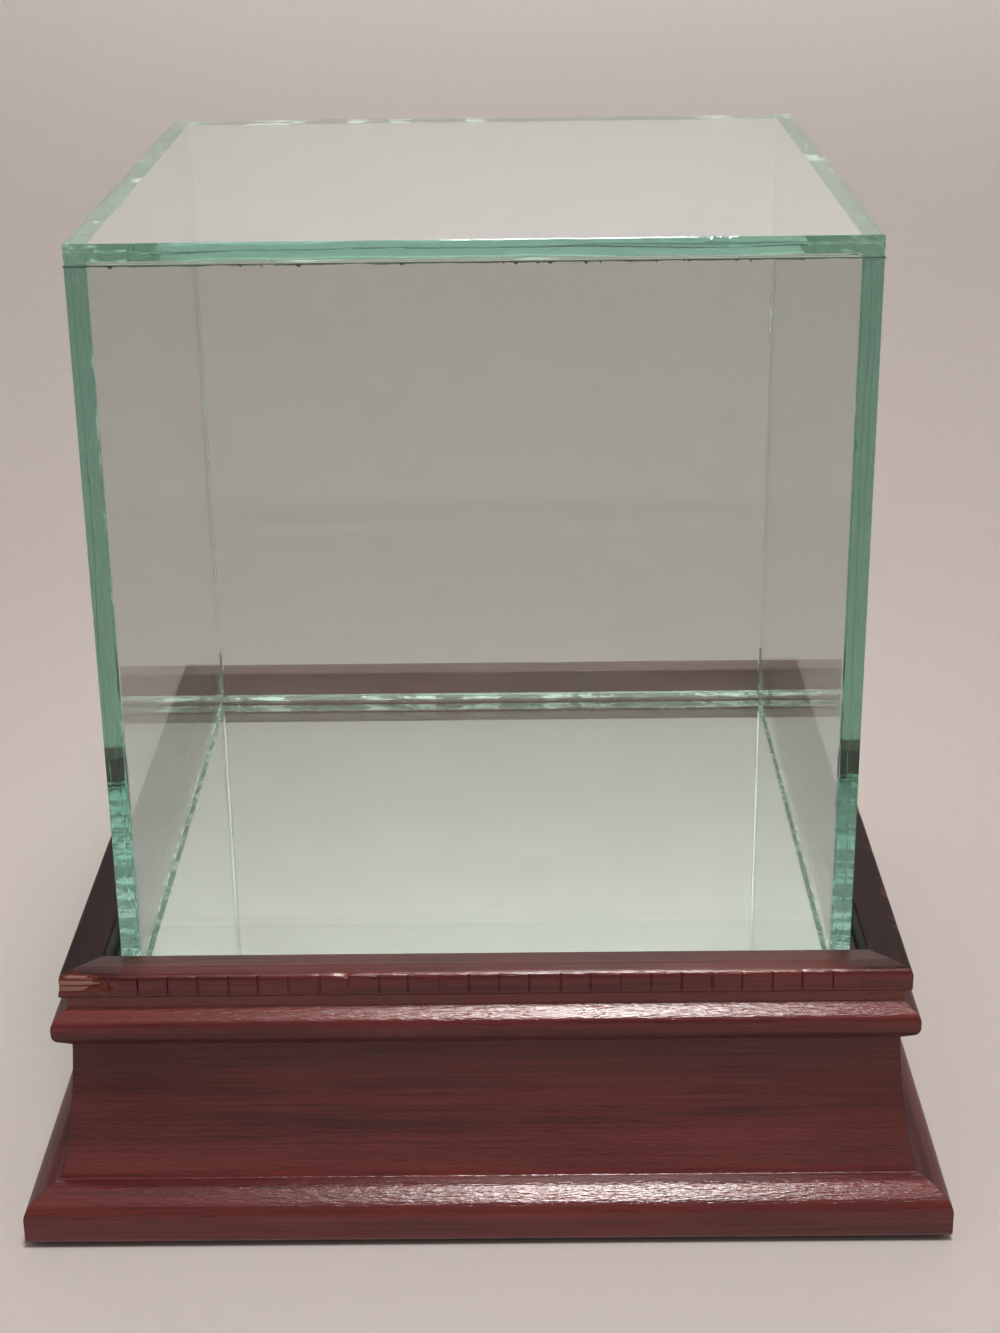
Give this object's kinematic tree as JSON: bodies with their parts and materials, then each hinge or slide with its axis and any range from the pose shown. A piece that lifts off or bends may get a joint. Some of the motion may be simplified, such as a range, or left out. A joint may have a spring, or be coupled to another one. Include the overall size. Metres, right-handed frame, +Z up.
{
  "type": "baseball display case",
  "caption": "Glass case for showing a ball: a lift-off cover of glued panes stands on a mirror in a mitred, moulded wooden base.",
  "frame": {"origin": "on the surface the case stands on, under the middle of its base", "axes": "+X to the right, +Y to the back, +Z up"},
  "size_m": [0.1532, 0.1532, 0.1635],
  "materials": {
    "float_glass": "polished faces, rough-cut green edges",
    "clear_adhesive": "clear cured film with fine bubbles",
    "mahogany_lacquer": "red-brown mahogany stain under semi-gloss lacquer",
    "raw_softwood": "sawn, unfinished",
    "silvered_mirror": "back-silvered float glass",
    "hardboard": "smooth brown hardboard",
    "zinc_steel": "bright zinc plate",
    "felt": "dark felt"
  },
  "bodies": {
    "base": {"front_rail": "mahogany_lacquer", "back_rail": "mahogany_lacquer", "left_rail": "mahogany_lacquer", "right_rail": "mahogany_lacquer", "mirror": "silvered_mirror", "mirror_board": "hardboard", "bottom_panel": "hardboard", "panel_screws": "zinc_steel", "front_left_block": "raw_softwood", "front_right_block": "raw_softwood", "back_left_block": "raw_softwood", "back_right_block": "raw_softwood", "front_left_pad": "felt", "front_right_pad": "felt", "back_left_pad": "felt", "back_right_pad": "felt"},
    "cover": {"top_pane": "float_glass", "front_pane": "float_glass", "back_pane": "float_glass", "left_pane": "float_glass", "right_pane": "float_glass", "top_glue": "clear_adhesive", "front_left_glue": "clear_adhesive", "front_right_glue": "clear_adhesive", "back_left_glue": "clear_adhesive", "back_right_glue": "clear_adhesive"}
  },
  "joints": [
    {"name": "cover_lift", "type": "slide", "parent": "base", "child": "cover", "axis": [0, 0, 1], "range_m": [0, 0.13]}
  ]
}
